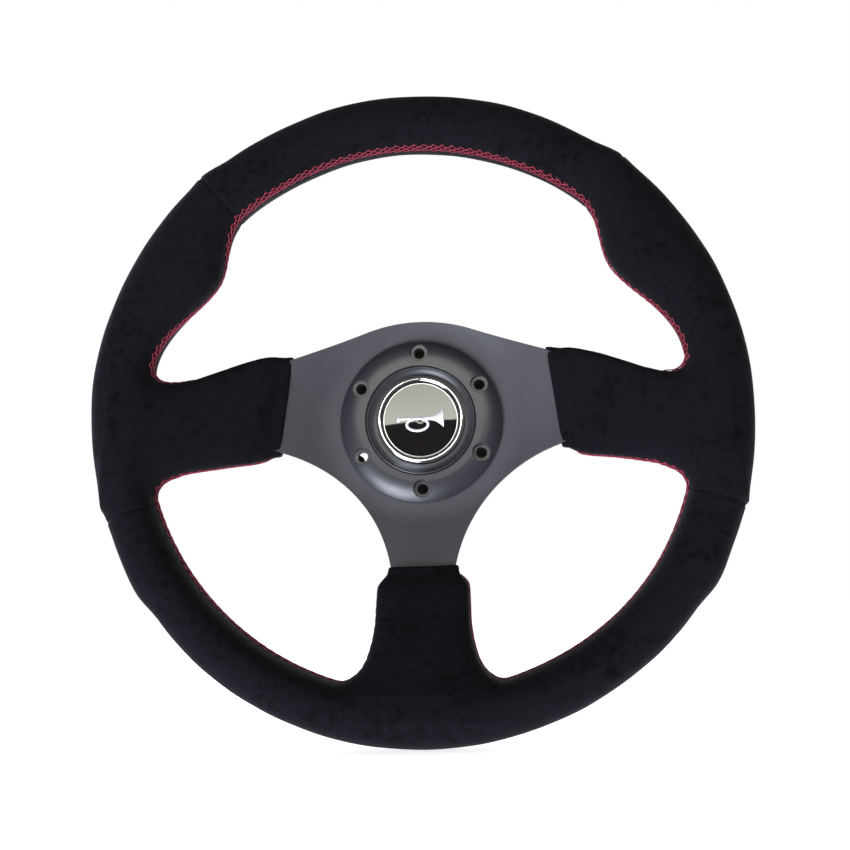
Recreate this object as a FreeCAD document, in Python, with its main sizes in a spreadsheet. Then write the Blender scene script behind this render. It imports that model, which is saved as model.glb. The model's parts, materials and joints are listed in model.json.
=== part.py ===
import FreeCAD, Part
import math
import os

import Sketcher

# A 320 mm three-spoke sport steering wheel with a horn push.
# Frame: the driver looks along +Y, +X is to the right and +Z is 12 o'clock.
# The origin is the centre of the bolt circle on the plate's back face, which meets the hub at y = 0.

DIMENSIONS = {
    # dished spoke plate
    "plate_thick": 4, "plate_bore": 27.5, "plate_flat": 48, "plate_bend": 30,
    "dish_reach": 133, "dish_depth": 38,
    "arm_end": 152, "crown_radius": 77, "crown_drop": 25.2, "crown_half": 25.5,
    "arm_tilt": 7.5, "arm_droop": 0.31, "arm_curl": 0.0021, "hem_reach": 68.3, "hem_half": 24,
    "arm_neck": 84, "arm_half": 16,
    "foot_reach": 74, "foot_half": 16, "foot_neck": 88, "foot_end_half": 12, "throat_radius": 77,
    # six bolts on 70 mm
    "bolt_circle": 70, "bolt_count": 6, "bolt_hole": 2.75, "counterbore": 4.5, "counterbore_deep": 3,
    # flat hoop inside the rim and its rivets
    "hoop_inner": 139, "hoop_outer": 153, "hoop_thick": 4,
    "foot_rivet_reach": 146, "arm_rivet_reach": 141, "rivet_across": 7, "rivet_shank": 2,
    "rivet_head": 3.4, "rivet_head_tall": 1.2,
    # rim, grips and covers
    "rim_outer": 160, "rim_upper_outer": 158.6, "rim_inner": 131.4, "rim_lower_inner": 133.2,
    "rim_half_deep": 16,
    "grip_rise": 13.1, "grip_start": 39.5, "grip_peak": 55.5, "grip_end": 77,
    "upper_seam": 41, "lower_seam": 108.5, "seam_gap": 0.1, "suede_thick": 1.2, "suede_gap": 0.05,
    "thread_half_wide": 2, "thread_half_tall": 0.45, "thread_clear": 0.3, "thread_corner": 17,
    "thread_start": 12.5, "thread_turn": 116, "thread_beside": 30, "thread_off": 3,
    "thread_space": 3.5,
    # clamping ring
    "bezel_bore": 27.95, "bezel_outer": 41.6, "bezel_thick": 5.6, "bezel_edge": 1.6, "bezel_land": 31.6,
    "bezel_round": 18, "bezel_lead": 0.4,
    "seat_radius": 30.2, "seat_deep": 2,
    # horn housing
    "collar_outer": 27.8, "collar_front": 9.9, "collar_lip": 0.7, "bowl_round": 6, "bowl_floor": 7.2,
    "lip_bore": 22.45, "lip_thick": 1.2, "cup_bore": 24, "cup_outer": 27.2, "cup_back": 11.2,
    "flange_radius": 30,
    # cap, ring and badge
    "cap_flange": 23.7, "cap_flange_thick": 2, "cap_body": 22.2, "cap_shoulder": 7.3,
    "cap_boss": 19.6, "cap_top": 8.2, "ring_inner": 19.65, "ring_outer": 22.2, "ring_front": 10.5,
    "ring_round": 1.275, "badge_plate": 18.95, "badge_plate_thick": 0.6, "badge": 18.55,
    "badge_edge": 0.7, "badge_rise": 1.3, "plunger": 2.5, "plunger_foot": 6, "plunger_foot_thick": 1,
    "contact_gap": 2.02,
    # contact base, contacts and terminals
    "base_thick": 3, "screw_circle": 25.6, "screw_shank": 0.9, "screw_deep": 5, "screw_head": 1.5,
    "screw_head_tall": 1.1, "screw_slot": 0.5, "contact_radius": 5, "contact_thick": 1.2,
    "spring_seat_inner": 6.6, "spring_seat_outer": 10.4, "spring_seat_thick": 0.6, "tab_reach": 15,
    "tab_half": 2.6, "rivet_pin": 1.25, "rivet_side": 12.4, "pin_head": 2.2, "pin_head_tall": 0.7,
    "blade_thick": 0.8, "blade_half": 3.15, "blade_long": 9, "blade_reach": 17.5, "centre_foot": 3,
    "side_foot": 6.5,
    "spring_radius": 8.4, "spring_wire": 0.5, "spring_turns": 5,
}

document = FreeCAD.newDocument("SteeringWheel")
sheet = document.addObject("Spreadsheet::Sheet", "Dims")
for row, (alias, number) in enumerate(DIMENSIONS.items(), start=1):
    sheet.set(f"A{row}", alias.replace("_", " "))
    sheet.set(f"B{row}", str(number))
    sheet.setAlias(f"B{row}", alias)
document.recompute()

NODES = []
FULL_TURN = 360
SIDES = (1, -1)


def size(alias):
    """A driving dimension's value in the sheet."""
    return float(sheet.get(alias))


def value(expression):
    """The number that an expression on the sheet works out to."""
    return float(sheet.evalExpression(expression))


def node(thing, label):
    """Marks a document object as a sub-part under its own label."""
    thing.Label = label
    NODES.append(thing)
    return thing


# ---------------------------------------------------------------- sketches and features


def origin_feature(body, role):
    return next(item for item in body.Origin.OriginFeatures if item.Role == role)


def new_sketch(body, name, plane):
    sketch = body.newObject("Sketcher::SketchObject", name)
    sketch.AttachmentSupport = [(origin_feature(body, plane), "")]
    sketch.MapMode = "FlatFace"
    return sketch


def bind(sketch, kind, *where, expression):
    """Adds one constraint whose size follows an expression."""
    index = sketch.addConstraint(Sketcher.Constraint(kind, *where, value(expression)))
    sketch.setExpression(f"Constraints[{index}]", expression)


def bind_point(sketch, geometry, point, corner):
    bind(sketch, "DistanceX", -1, 1, geometry, point, expression=corner[0])
    bind(sketch, "DistanceY", -1, 1, geometry, point, expression=corner[1])


def arc_between(start, end, radius, left):
    """Arc of the given radius; left tells on which side of the chord the centre lies."""
    chord = end - start
    toward = FreeCAD.Vector(-chord.y, chord.x, 0).normalize() * (1 if left else -1)
    centre = (start + end) * 0.5 + toward * math.sqrt(radius**2 - (chord.Length / 2) ** 2)
    circle = Part.Circle(centre, FreeCAD.Vector(0, 0, 1), radius)
    first, last = (start, end) if left else (end, start)
    angles = [math.atan2(point.y - centre.y, point.x - centre.x) for point in (first, last)]
    return Part.ArcOfCircle(circle, angles[0], angles[1])


def outline(body, name, plane, corners, arcs=None):
    """Closed outline through corners; arcs maps a side's number to (radius, centre on the left)."""
    arcs = arcs or {}
    sketch = new_sketch(body, name, plane)
    points = [FreeCAD.Vector(value(x), value(y), 0) for x, y in corners]
    ends = []
    for side, start in enumerate(points):
        end = points[(side + 1) % len(points)]
        if side in arcs:
            radius, left = arcs[side]
            sketch.addGeometry(arc_between(start, end, value(radius), left), False)
            ends.append((1, 2) if left else (2, 1))
        else:
            sketch.addGeometry(Part.LineSegment(start, end), False)
            ends.append((1, 2))
    for side in range(len(points)):
        following = (side + 1) % len(points)
        touching = Sketcher.Constraint("Coincident", side, ends[side][1], following, ends[following][0])
        sketch.addConstraint(touching)
    for side, corner in enumerate(corners):
        bind_point(sketch, side, ends[side][0], corner)
    for side, (radius, _) in arcs.items():
        bind(sketch, "Radius", side, expression=radius)
    return sketch


def circles(body, name, plane, rounds):
    """Sketch of circles, each a pair of centre and radius expressions."""
    sketch = new_sketch(body, name, plane)
    for index, (centre, radius) in enumerate(rounds):
        middle = FreeCAD.Vector(value(centre[0]), value(centre[1]), 0)
        sketch.addGeometry(Part.Circle(middle, FreeCAD.Vector(0, 0, 1), value(radius)), False)
        bind_point(sketch, index, 3, centre)
        bind(sketch, "Radius", index, expression=radius)
    return sketch


def turned(body, name, corners, arcs=None):
    """Turns a profile of (radius, y) corners about the wheel's axis."""
    sketch = outline(body, name + "_profile", "XY_Plane", corners, arcs)
    feature = body.newObject("PartDesign::Revolution", name)
    feature.Profile = sketch
    feature.ReferenceAxis = (sketch, ["V_Axis"])
    feature.Angle = FULL_TURN
    return feature


def extruded(body, kind, name, sketch, driver_side, hub_side):
    """Pad or pocket of an XZ sketch between two depths, each measured from y = 0."""
    feature = body.newObject("PartDesign::" + kind, name)
    feature.Profile = sketch
    feature.SideType = "Two sides"
    toward_driver = kind == "Pad"
    feature.setExpression("Length", driver_side if toward_driver else hub_side)
    feature.setExpression("Length2", hub_side if toward_driver else driver_side)
    return feature


def around_axis(body, name, features, count):
    """Repeats features about the wheel's axis and makes the pattern the body's tip."""
    pattern = body.newObject("PartDesign::PolarPattern", name)
    pattern.Originals = features
    pattern.Axis = (origin_feature(body, "Y_Axis"), [""])
    pattern.Angle = FULL_TURN
    pattern.setExpression("Occurrences", count)
    body.Tip = pattern
    return pattern


# ---------------------------------------------------------------- spoke plate and hoop


def arm_point(along, across):
    """A point on the right arm, along and across its axis, which droops beyond the hem."""
    turn = "Dims.arm_tilt"
    beyond = f"max({along} - Dims.hem_reach; 0)"
    across = f"({across} - {beyond} * (Dims.arm_droop + Dims.arm_curl * {beyond}))"
    return (f"{along} * cos({turn}) - {across} * sin({turn})",
            f"{along} * sin({turn}) + {across} * cos({turn})")


def mirrored(corner):
    return (f"-({corner[0]})", corner[1])


def make_spoke_plate():
    body = node(document.addObject("PartDesign::Body", "SpokePlate"), "spoke_plate")
    lean = "atan(Dims.dish_depth / (Dims.dish_reach - Dims.plate_flat))"
    step = f"Dims.plate_thick * tan({lean} / 2)"
    bend = f"Dims.plate_bend * tan({lean} / 2)"
    inner_bend = f"(Dims.plate_bend - Dims.plate_thick) * tan({lean} / 2)"
    turned(body, "DishedDisc", [
        ("Dims.plate_bore", "0"), (f"Dims.plate_flat - {bend}", "0"),
        (f"Dims.plate_flat + {bend} * cos({lean})", f"-{bend} * sin({lean})"),
        ("Dims.dish_reach", "-Dims.dish_depth"),
        ("Dims.arm_end", "-Dims.dish_depth"), ("Dims.arm_end", "-Dims.dish_depth - Dims.plate_thick"),
        (f"Dims.dish_reach - {step}", "-Dims.dish_depth - Dims.plate_thick"),
        (f"Dims.plate_flat - {step} + {inner_bend} * cos({lean})", f"-Dims.plate_thick - {inner_bend} * sin({lean})"),
        (f"Dims.plate_flat - {step} - {inner_bend}", "-Dims.plate_thick"),
        ("Dims.plate_bore", "-Dims.plate_thick")],
        {1: ("Dims.plate_bend", False), 7: ("Dims.plate_bend - Dims.plate_thick", True)})

    crown = ("Dims.crown_half", "sqrt(Dims.crown_radius ^ 2 - Dims.crown_half ^ 2) - Dims.crown_drop")
    beyond = "(Dims.arm_end + 5)"
    right = [crown, arm_point("Dims.hem_reach", "Dims.hem_half"),
             arm_point("Dims.arm_neck", "Dims.arm_half"), arm_point(beyond, "Dims.arm_half"),
             arm_point(beyond, "-Dims.arm_half"), arm_point("Dims.arm_neck", "-Dims.arm_half"),
             arm_point("Dims.hem_reach", "-Dims.hem_half"), ("Dims.foot_half", "-Dims.foot_reach"),
             ("Dims.foot_end_half", "-Dims.foot_neck"), ("Dims.foot_end_half", f"-{beyond}")]
    corners = right + [mirrored(corner) for corner in reversed(right)]
    throat = 6
    arcs = {throat: ("Dims.throat_radius", True),
            len(corners) - 2 - throat: ("Dims.throat_radius", True),
            len(corners) - 1: ("Dims.crown_radius", False)}
    waste = outline(body, "WasteOutline", "XZ_Plane", corners, arcs)
    waste.addGeometry(Part.Circle(FreeCAD.Vector(), FreeCAD.Vector(0, 0, 1), value(f"{beyond} + 10")), False)
    bind_point(waste, len(corners), 3, ("0", "0"))
    bind(waste, "Radius", len(corners), expression=f"{beyond} + 10")
    extruded(body, "Pocket", "AroundArms", waste, "Dims.dish_depth * 2", "Dims.plate_thick")

    bolt = circles(body, "BoltHoleCircle", "XZ_Plane", [(("0", "Dims.bolt_circle / 2"), "Dims.bolt_hole")])
    hole = extruded(body, "Pocket", "BoltHole", bolt, "Dims.plate_thick * 2", "Dims.plate_thick")
    around_axis(body, "BoltHoles", [hole], "Dims.bolt_count")
    rivets = circles(body, "RivetHoleCircles", "XZ_Plane",
                     [(centre, "Dims.rivet_shank") for centre in rivet_centres()])
    extruded(body, "Pocket", "RivetHoles", rivets, "Dims.dish_depth * 2", "Dims.plate_thick")
    return body


def rivet_centres():
    """Two rivets on each of the right, left and bottom arms."""
    right = [arm_point("Dims.arm_rivet_reach", f"{side} * Dims.rivet_across") for side in SIDES]
    foot = [(f"{side} * Dims.rivet_across", "-Dims.foot_rivet_reach") for side in SIDES]
    return right + [mirrored(centre) for centre in right] + foot


def make_rim_core():
    body = node(document.addObject("PartDesign::Body", "RimCore"), "rim_core")
    back = "-Dims.dish_depth + Dims.hoop_thick"
    turned(body, "Hoop", [("Dims.hoop_inner", "-Dims.dish_depth"), ("Dims.hoop_outer", "-Dims.dish_depth"),
                          ("Dims.hoop_outer", back), ("Dims.hoop_inner", back)])
    rivets = circles(body, "RivetHoleCircles", "XZ_Plane",
                     [(centre, "Dims.rivet_shank") for centre in rivet_centres()])
    extruded(body, "Pocket", "RivetHoles", rivets, "Dims.dish_depth * 2", "Dims.plate_thick")
    return body


def make_core_rivets():
    """Rivets with a head on either side of arm and hoop."""
    body = node(document.addObject("PartDesign::Body", "CoreRivets"), "core_rivets")
    front = "Dims.dish_depth + Dims.plate_thick"
    back = "Dims.dish_depth - Dims.hoop_thick"
    spans = {"Shanks": ("Dims.rivet_shank", front, back),
             "FrontHeads": ("Dims.rivet_head", f"{front} + Dims.rivet_head_tall", front),
             "BackHeads": ("Dims.rivet_head", back, f"{back} - Dims.rivet_head_tall")}
    for name, (radius, driver_side, hub_side) in spans.items():
        sketch = circles(body, name + "Circles", "XZ_Plane",
                         [(centre, radius) for centre in rivet_centres()])
        extruded(body, "Pad", name, sketch, driver_side, f"-({hub_side})")
    return body


# ---------------------------------------------------------------- horn push: fixed pieces


LIP_BACK = "(-Dims.bowl_floor + Dims.lip_thick)"


def make_horn_bezel():
    """Clamping ring with six counterbored bolt holes and a seat for the housing's flange."""
    body = node(document.addObject("PartDesign::Body", "HornBezel"), "horn_bezel")
    front = "-(Dims.plate_thick + Dims.bezel_thick)"
    seat = "-(Dims.plate_thick + Dims.seat_deep)"
    turned(body, "Ring", [
        ("Dims.seat_radius", "-Dims.plate_thick"), ("Dims.bezel_outer", "-Dims.plate_thick"),
        ("Dims.bezel_outer", "-(Dims.plate_thick + Dims.bezel_edge)"), ("Dims.bezel_land", front),
        ("Dims.bezel_bore + Dims.bezel_lead", front), ("Dims.bezel_bore", f"{front} + Dims.bezel_lead"),
        ("Dims.bezel_bore", seat), ("Dims.seat_radius", seat)], {2: ("Dims.bezel_round", False)})
    centre = ("0", "Dims.bolt_circle / 2")
    depth = "Dims.plate_thick + Dims.bezel_thick"
    through = circles(body, "ThroughCircle", "XZ_Plane", [(centre, "Dims.bolt_hole")])
    bore = extruded(body, "Pocket", "Through", through, f"{depth} + 1", "0")
    sunk = circles(body, "CounterboreCircle", "XZ_Plane", [(centre, "Dims.counterbore")])
    step = extruded(body, "Pocket", "Counterbore", sunk, f"{depth} + 1",
                    f"-({depth} - Dims.counterbore_deep)")
    around_axis(body, "BoltHoles", [bore, step], "Dims.bolt_count")
    return body


def make_horn_housing():
    """Cup with a bowl-shaped collar in front, a clamped flange and a lip that keeps the cap in."""
    body = node(document.addObject("PartDesign::Body", "HornHousing"), "horn_housing")
    flange_front = "-(Dims.plate_thick + Dims.seat_deep - 0.05)"
    turned(body, "Cup", [
        ("Dims.cup_bore", "Dims.cup_back"), ("Dims.cup_outer", "Dims.cup_back"),
        ("Dims.cup_outer", "-Dims.plate_thick"), ("Dims.flange_radius", "-Dims.plate_thick"),
        ("Dims.flange_radius", flange_front), ("Dims.collar_outer", flange_front),
        ("Dims.collar_outer", "-Dims.collar_front + Dims.collar_lip"),
        ("Dims.collar_outer - Dims.collar_lip", "-Dims.collar_front"),
        ("Dims.lip_bore", "-Dims.bowl_floor"), ("Dims.lip_bore", LIP_BACK), ("Dims.cup_bore", LIP_BACK)],
        {6: ("Dims.collar_lip", False), 7: ("Dims.bowl_round", True)})
    holes = circles(body, "ScrewHoleCircle", "XZ_Plane", [(("0", "Dims.screw_circle"), "Dims.screw_shank")])
    hole = extruded(body, "Pocket", "ScrewHole", holes, "Dims.screw_deep - Dims.cup_back", "Dims.cup_back + 1")
    around_axis(body, "ScrewHoles", [hole], "3")
    return body


BASE_FRONT = "Dims.cup_back"
BASE_BACK = "(Dims.cup_back + Dims.base_thick)"
CONTACT_FRONT = "(Dims.cup_back - Dims.contact_thick)"


def make_contact_base():
    """Insulating disc that closes the cup's back."""
    body = node(document.addObject("PartDesign::Body", "ContactBase"), "contact_base")
    disc = circles(body, "DiscCircle", "XZ_Plane", [(("0", "0"), "Dims.cup_outer")])
    extruded(body, "Pad", "Disc", disc, f"-{BASE_FRONT}", BASE_BACK)
    pins = [(("0", "0"), "Dims.rivet_pin"), (("Dims.rivet_side", "0"), "Dims.rivet_pin")]
    pin_circles = circles(body, "PinCircles", "XZ_Plane", pins)
    extruded(body, "Pocket", "PinHoles", pin_circles, "1", f"{BASE_BACK} + 1")
    screw = circles(body, "ScrewCircle", "XZ_Plane", [(("0", "Dims.screw_circle"), "Dims.screw_shank")])
    hole = extruded(body, "Pocket", "ScrewHole", screw, "1", f"{BASE_BACK} + 1")
    around_axis(body, "ScrewHoles", [hole], "3")
    return body


def make_base_screws():
    """Three slotted screws that hold the base to the cup's wall."""
    body = node(document.addObject("PartDesign::Body", "BaseScrews"), "base_screws")
    centre = ("0", "Dims.screw_circle")
    shank = circles(body, "ShankCircle", "XZ_Plane", [(centre, "Dims.screw_shank")])
    stem = extruded(body, "Pad", "Shank", shank, "Dims.screw_deep - Dims.cup_back", BASE_BACK)
    head = circles(body, "HeadCircle", "XZ_Plane", [(centre, "Dims.screw_head")])
    cap = extruded(body, "Pad", "Head", head, f"-{BASE_BACK}", f"{BASE_BACK} + Dims.screw_head_tall")
    half = "Dims.screw_slot / 2"
    reach = "Dims.screw_head * 1.2"
    slot = outline(body, "SlotOutline", "XZ_Plane", [
        (f"{side_x} * {reach}", f"Dims.screw_circle + {side_z} * {half}")
        for side_x, side_z in ((-1, -1), (1, -1), (1, 1), (-1, 1))])
    groove = extruded(body, "Pocket", "Slot", slot, f"-({BASE_BACK} + Dims.screw_head_tall / 2)",
                      f"{BASE_BACK} + Dims.screw_head_tall * 2")
    around_axis(body, "Screws", [stem, cap, groove], "3")
    return body


def make_fixed_contact():
    body = node(document.addObject("PartDesign::Body", "FixedContact"), "fixed_contact")
    disc = circles(body, "DiscCircles", "XZ_Plane",
                   [(("0", "0"), "Dims.contact_radius"), (("0", "0"), "Dims.rivet_pin")])
    extruded(body, "Pad", "Disc", disc, f"-{CONTACT_FRONT}", BASE_FRONT)
    return body


def make_spring_seat():
    """Brass ring under the spring, with a tab to the side terminal's rivet."""
    body = node(document.addObject("PartDesign::Body", "SpringSeat"), "spring_seat")
    front = "-(Dims.cup_back - Dims.spring_seat_thick)"
    disc = circles(body, "DiscCircle", "XZ_Plane", [(("0", "0"), "Dims.spring_seat_outer")])
    extruded(body, "Pad", "Disc", disc, front, BASE_FRONT)
    tab = outline(body, "TabOutline", "XZ_Plane", [
        ("Dims.spring_seat_inner", "-Dims.tab_half"), ("Dims.tab_reach", "-Dims.tab_half"),
        ("Dims.tab_reach", "Dims.tab_half"), ("Dims.spring_seat_inner", "Dims.tab_half")])
    extruded(body, "Pad", "Tab", tab, front, BASE_FRONT)
    holes = circles(body, "HoleCircles", "XZ_Plane", [(("0", "0"), "Dims.spring_seat_inner"),
                                                      (("Dims.rivet_side", "0"), "Dims.rivet_pin")])
    extruded(body, "Pocket", "Holes", holes, "1", f"{BASE_FRONT} + 1")
    return body


def make_terminals():
    """Two 6.3 x 0.8 mm blade terminals, bent back at right angles from a riveted foot."""
    body = node(document.addObject("PartDesign::Body", "Terminals"), "terminals")
    foot_back = f"{BASE_BACK} + Dims.blade_thick"
    tip = f"{foot_back} + Dims.blade_long"
    for name, side, foot_start in (("CentreBlade", -1, "-Dims.centre_foot"), ("SideBlade", 1, "Dims.side_foot")):
        corners = [(foot_start, BASE_BACK), ("Dims.blade_reach", BASE_BACK), ("Dims.blade_reach", tip),
                   ("Dims.blade_reach - Dims.blade_thick", tip),
                   ("Dims.blade_reach - Dims.blade_thick", foot_back), (foot_start, foot_back)]
        sketch = outline(body, name + "Outline", "XY_Plane",
                         [(f"{side} * ({x})", y) for x, y in corners])
        pad = body.newObject("PartDesign::Pad", name)
        pad.Profile = sketch
        pad.SideType = "Symmetric"
        pad.setExpression("Length", "Dims.blade_half * 2")
    pins = circles(body, "PinCircles", "XZ_Plane", [(("0", "0"), "Dims.rivet_pin"),
                                                    (("Dims.rivet_side", "0"), "Dims.rivet_pin")])
    extruded(body, "Pocket", "PinHoles", pins, "1", f"{foot_back} + Dims.blade_thick")
    return body


def make_terminal_rivets():
    """Rivets that clamp contact, base and terminal foot together."""
    body = node(document.addObject("PartDesign::Body", "TerminalRivets"), "terminal_rivets")
    foot_back = f"{BASE_BACK} + Dims.blade_thick"
    front_faces = {"Centre": ("0", CONTACT_FRONT),
                   "Side": ("Dims.rivet_side", "(Dims.cup_back - Dims.spring_seat_thick - Dims.pin_head_tall)")}
    for name, (across, front) in front_faces.items():
        pin = circles(body, name + "PinCircle", "XZ_Plane", [((across, "0"), "Dims.rivet_pin")])
        extruded(body, "Pad", name + "Pin", pin, f"-{front}", foot_back)
        head = circles(body, name + "HeadCircle", "XZ_Plane", [((across, "0"), "Dims.pin_head")])
        extruded(body, "Pad", name + "Head", head, f"-({foot_back})", f"{foot_back} + Dims.pin_head_tall")
    side_head = circles(body, "SeatHeadCircle", "XZ_Plane", [(("Dims.rivet_side", "0"), "Dims.pin_head")])
    seat_front = "Dims.cup_back - Dims.spring_seat_thick"
    extruded(body, "Pad", "SeatHead", side_head, f"-({seat_front} - Dims.pin_head_tall)", seat_front)
    return body


# ---------------------------------------------------------------- horn push: moving pieces


def make_push_cap():
    body = node(document.addObject("PartDesign::Body", "PushCap"), "push_cap")
    flange_front = f"{LIP_BACK} + 0.02"
    flange_back = f"{flange_front} + Dims.cap_flange_thick"
    turned(body, "Cap", [
        ("0", flange_back), ("Dims.cap_flange", flange_back), ("Dims.cap_flange", flange_front),
        ("Dims.cap_body", flange_front), ("Dims.cap_body", "-Dims.cap_shoulder"),
        ("Dims.cap_boss", "-Dims.cap_shoulder"), ("Dims.cap_boss", "-Dims.cap_top"), ("0", "-Dims.cap_top")])
    return body


def make_chrome_ring():
    body = node(document.addObject("PartDesign::Body", "ChromeRing"), "chrome_ring")
    shoulder = "-Dims.ring_front + Dims.ring_round"
    middle = "(Dims.ring_outer + Dims.ring_inner) / 2"
    turned(body, "Ring", [
        ("Dims.ring_inner", "-Dims.cap_shoulder"), ("Dims.ring_outer", "-Dims.cap_shoulder"),
        ("Dims.ring_outer", shoulder), (middle, "-Dims.ring_front"), ("Dims.ring_inner", shoulder)],
        {2: ("Dims.ring_round", False), 3: ("Dims.ring_round", False)})
    return body


def make_badge_plate():
    body = node(document.addObject("PartDesign::Body", "BadgePlate"), "badge_plate")
    disc = circles(body, "DiscCircle", "XZ_Plane", [(("0", "0"), "Dims.badge_plate")])
    extruded(body, "Pad", "Disc", disc, "Dims.cap_top + Dims.badge_plate_thick", "-Dims.cap_top")
    return body


def make_badge_dome():
    """Clear domed disc on the badge plate."""
    body = node(document.addObject("PartDesign::Body", "BadgeDome"), "badge_dome")
    back = "-(Dims.cap_top + Dims.badge_plate_thick)"
    edge = f"{back} - Dims.badge_edge"
    radius = "(Dims.badge ^ 2 + Dims.badge_rise ^ 2) / (2 * Dims.badge_rise)"
    turned(body, "Dome", [("0", back), ("Dims.badge", back), ("Dims.badge", edge),
                          ("0", f"{edge} - Dims.badge_rise")], {2: (radius, False)})
    return body


def make_moving_contact():
    """Brass plunger under the cap that meets the fixed contact when the cap is pushed."""
    body = node(document.addObject("PartDesign::Body", "MovingContact"), "moving_contact")
    cap_back = f"{LIP_BACK} + 0.02 + Dims.cap_flange_thick"
    foot = f"{cap_back} + Dims.plunger_foot_thick"
    tip = f"{CONTACT_FRONT} - Dims.contact_gap"
    turned(body, "Plunger", [("0", cap_back), ("Dims.plunger_foot", cap_back), ("Dims.plunger_foot", foot),
                             ("Dims.plunger", foot), ("Dims.plunger", tip), ("0", tip)])
    return body


def make_return_spring():
    """Coil spring between the cap's back and the brass spring seat."""
    wire = size("spring_wire")
    start = size("lip_thick") - size("bowl_floor") + 0.02 + size("cap_flange_thick") + wire + 0.05
    finish = size("cup_back") - size("spring_seat_thick") - wire - 0.05
    radius = size("spring_radius")
    helix = Part.makeLongHelix((finish - start) / size("spring_turns"), finish - start, radius)
    circle = Part.Circle(FreeCAD.Vector(radius, 0, 0), FreeCAD.Vector(0, 1, 0), wire)
    coil = Part.Wire(helix).makePipeShell([Part.Wire(circle.toShape())], True, True)
    feature = node(document.addObject("Part::Feature", "ReturnSpring"), "return_spring")
    feature.Shape = coil
    feature.Placement = FreeCAD.Placement(
        FreeCAD.Vector(0, start, 0), FreeCAD.Rotation(FreeCAD.Vector(1, 0, 0), -FULL_TURN / 4))
    return feature


# ---------------------------------------------------------------- rim, sleeves and covers

SECTION_POINTS = 12
SECTION_STEP = 5.5
THREAD_STEP = SECTION_STEP / 2
SPOKES = {"right": 90 - DIMENSIONS["arm_tilt"], "left": 270 + DIMENSIONS["arm_tilt"], "bottom": 180}
SAG_SIDE = {"right": 1, "left": -1, "bottom": 0}


def smooth_step(position):
    """Eases from 0 to 1 while position runs from 0 to 1."""
    clamped = min(max(position, 0), 1)
    return clamped * clamped * (3 - 2 * clamped)


def from_top(angle):
    """Angle to either side of 12 o'clock, from 0 to 180."""
    turn = angle % FULL_TURN
    return min(turn, FULL_TURN - turn)


def grip(angle):
    """How far the thumb grip stands in toward the hub at an angle from 12 o'clock, from 0 to 1."""
    away = from_top(angle)
    start, peak, end = size("grip_start"), size("grip_peak"), size("grip_end")
    rising = smooth_step((away - start) / (peak - start))
    return rising * smooth_step((end - away) / (end - peak))


def rim_radii(angle):
    """Outer and inner radius of the covered rim at an angle from 12 o'clock."""
    away = from_top(angle)
    upper_seam, lower_change, blend = size("upper_seam"), 122, 6
    side = smooth_step((away - upper_seam + blend) / blend) * smooth_step((lower_change + blend - away) / blend)
    outer = size("rim_upper_outer") + side * (size("rim_outer") - size("rim_upper_outer"))
    lower = smooth_step((away - size("grip_end")) / 25)
    inner = size("rim_inner") + lower * (size("rim_lower_inner") - size("rim_inner"))
    return outer, inner - size("grip_rise") * grip(angle)


def closed_curve(points):
    curve = Part.BSplineCurve()
    curve.interpolate(points, PeriodicFlag=True)
    return Part.Wire(curve.toShape())


def oval(half_wide, half_deep, squareness):
    """Points of a superellipse about the origin, as pairs."""
    for step in range(SECTION_POINTS):
        turn = 2 * math.pi * step / SECTION_POINTS
        across, deep = math.cos(turn), math.sin(turn)
        yield (half_wide * math.copysign(abs(across) ** (2 / squareness), across),
               half_deep * math.copysign(abs(deep) ** (2 / squareness), deep))


def rim_section(angle, inset):
    outer, inner = rim_radii(angle)
    middle, half_wide = (outer + inner) / 2, (outer - inner) / 2 - inset
    turn = math.radians(angle)
    return closed_curve([
        FreeCAD.Vector((middle + across) * math.sin(turn), deep - size("dish_depth"),
                       (middle + across) * math.cos(turn))
        for across, deep in oval(half_wide, size("rim_half_deep") - inset, 2.15)])


def rim_arc(start, end, inset):
    """Solid rim between two angles, with its surface set in by inset."""
    count = max(2, round((end - start) / SECTION_STEP)) + 1
    angles = [start + (end - start) * index / (count - 1) for index in range(count)]
    return Part.makeLoft([rim_section(angle, inset) for angle in angles], True)


def sleeve_stations(spoke):
    """Stations of a padded sleeve: distance from the axis, half width and half depth."""
    if spoke == "bottom":
        return [(size("foot_reach"), size("foot_half") + 2.4, 4.2), (size("foot_reach") + 4.4, 18.6, 4.6),
                (size("foot_reach") + 9, 22.6, 6.4), (102, 22.2, 8), (118, 22.6, 9.6), (126, 26, 11),
                (134, 33, 12.2), (142, 37, 12.5)]
    return [(size("hem_reach"), size("hem_half") + 1.6, 4.2), (size("hem_reach") + 4.4, 25.9, 4.8),
            (size("hem_reach") + 8, 26.4, 6.4), (96, 24.4, 8), (114, 22.4, 9.6), (124, 23.2, 11),
            (133, 26, 12.2), (141, 28, 12.5)]


def plate_middle(reach):
    """The y of the plate's middle at a distance from the axis."""
    slope = size("dish_depth") / (size("dish_reach") - size("plate_flat"))
    back = -slope * (min(max(reach, size("plate_flat")), size("dish_reach")) - size("plate_flat"))
    return back - size("plate_thick") / 2 * math.hypot(1, slope)


def spoke_frame(spoke):
    """Directions along and across a spoke."""
    turn = math.radians(SPOKES[spoke])
    along = FreeCAD.Vector(math.sin(turn), 0, math.cos(turn))
    return along, FreeCAD.Vector(math.cos(turn), 0, -math.sin(turn))


def sag(spoke, reach):
    """How far a side sleeve's middle has dropped across its spoke at a distance from the axis."""
    beyond = min(max(reach, size("hem_reach")), size("rim_inner")) - size("hem_reach")
    return SAG_SIDE[spoke] * beyond * (size("arm_droop") + size("arm_curl") * beyond)


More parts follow.
